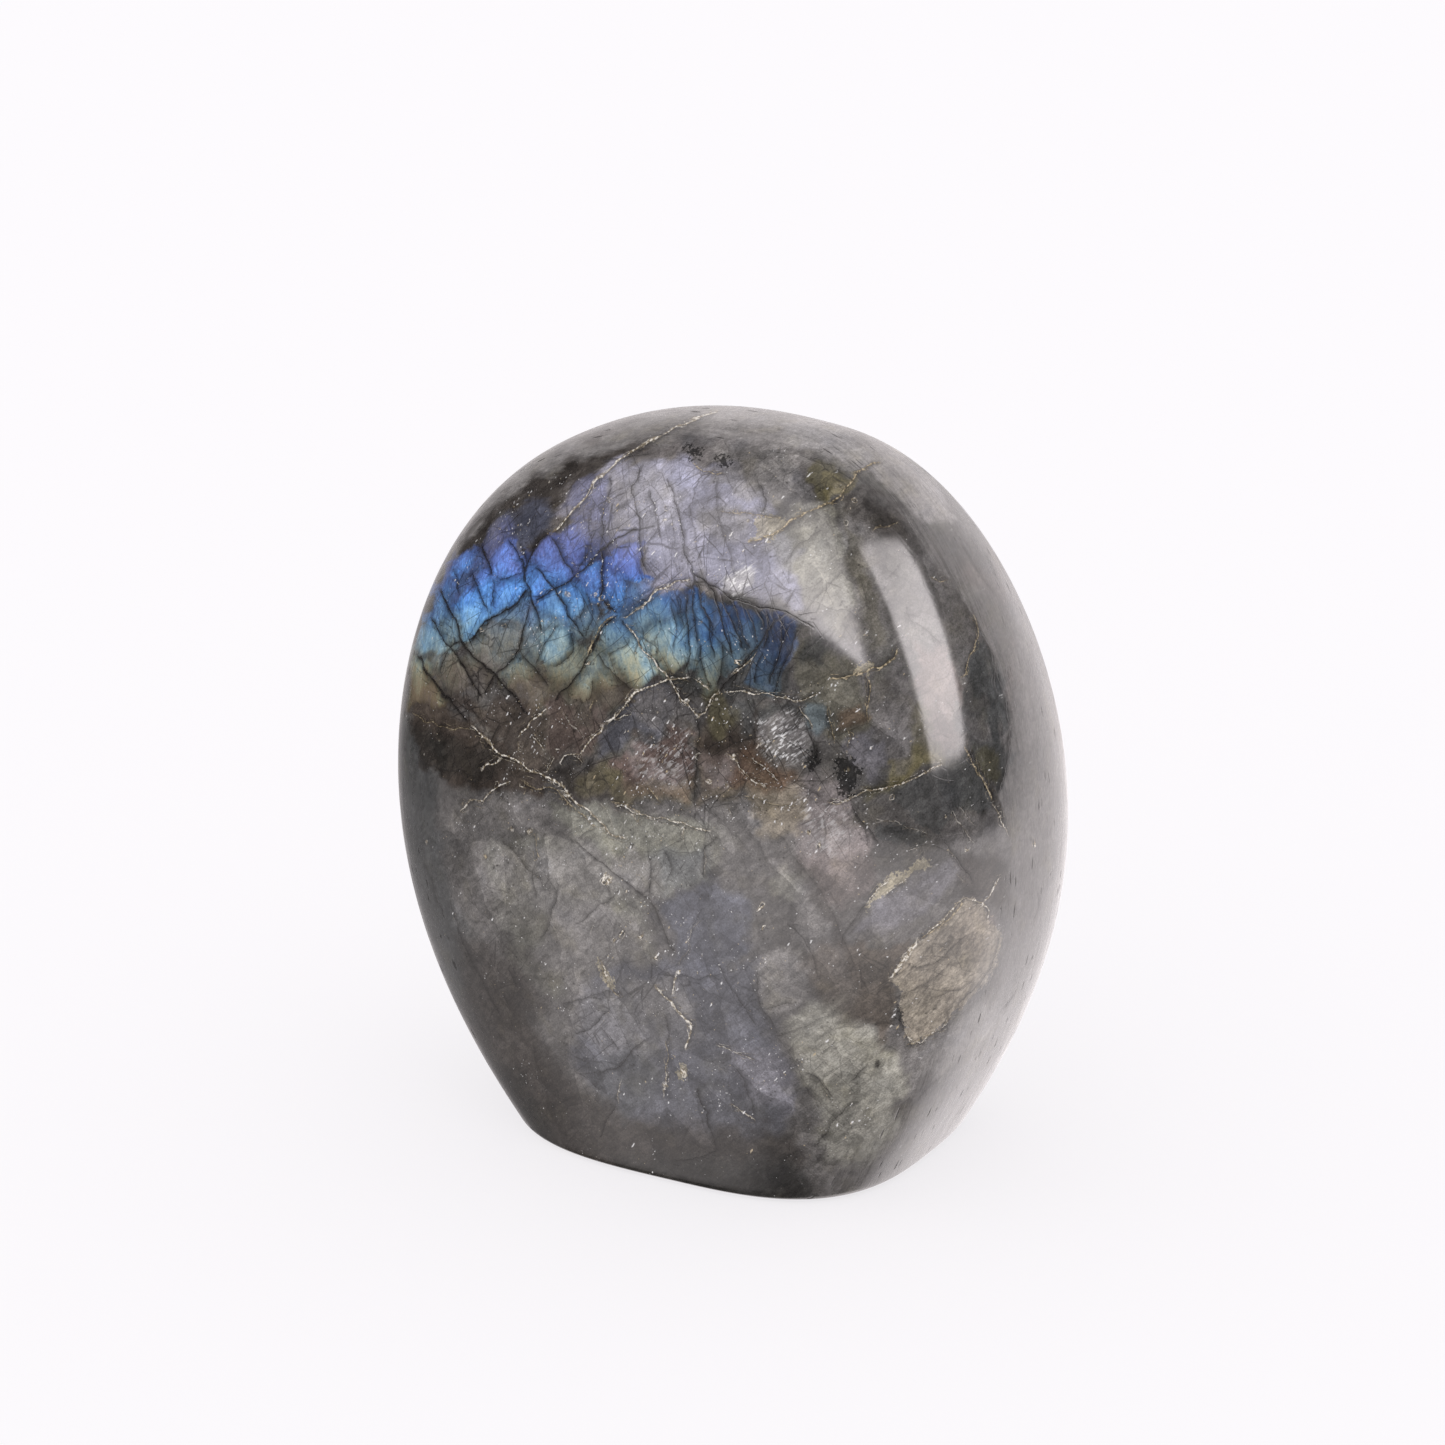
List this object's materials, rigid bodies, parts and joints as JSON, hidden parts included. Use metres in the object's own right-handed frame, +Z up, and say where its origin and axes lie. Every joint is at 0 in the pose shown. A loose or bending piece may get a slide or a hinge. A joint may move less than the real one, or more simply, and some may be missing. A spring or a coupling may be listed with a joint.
{
  "type": "polished labradorite free form",
  "caption": "Rounded, self-standing labradorite free form, polished all over, with a blue and gold flash across one face and a flat sawn foot.",
  "frame": {"origin": "middle of the flat sawn foot, on the surface that the stone stands on", "axes": "+Z up from the foot to the crown; -Y out of the broad flashing front; +X along the broad side, to the right as seen from the front"},
  "size_m": [0.0743, 0.0484, 0.08],
  "materials": {
    "polished_labradorite": "glossy lapidary polish on grey-green feldspar; blue, teal and gold flash, veined cracks, fine pale flecks"
  },
  "bodies": {
    "root": {"labradorite_stone": "polished_labradorite"}
  },
  "joints": []
}
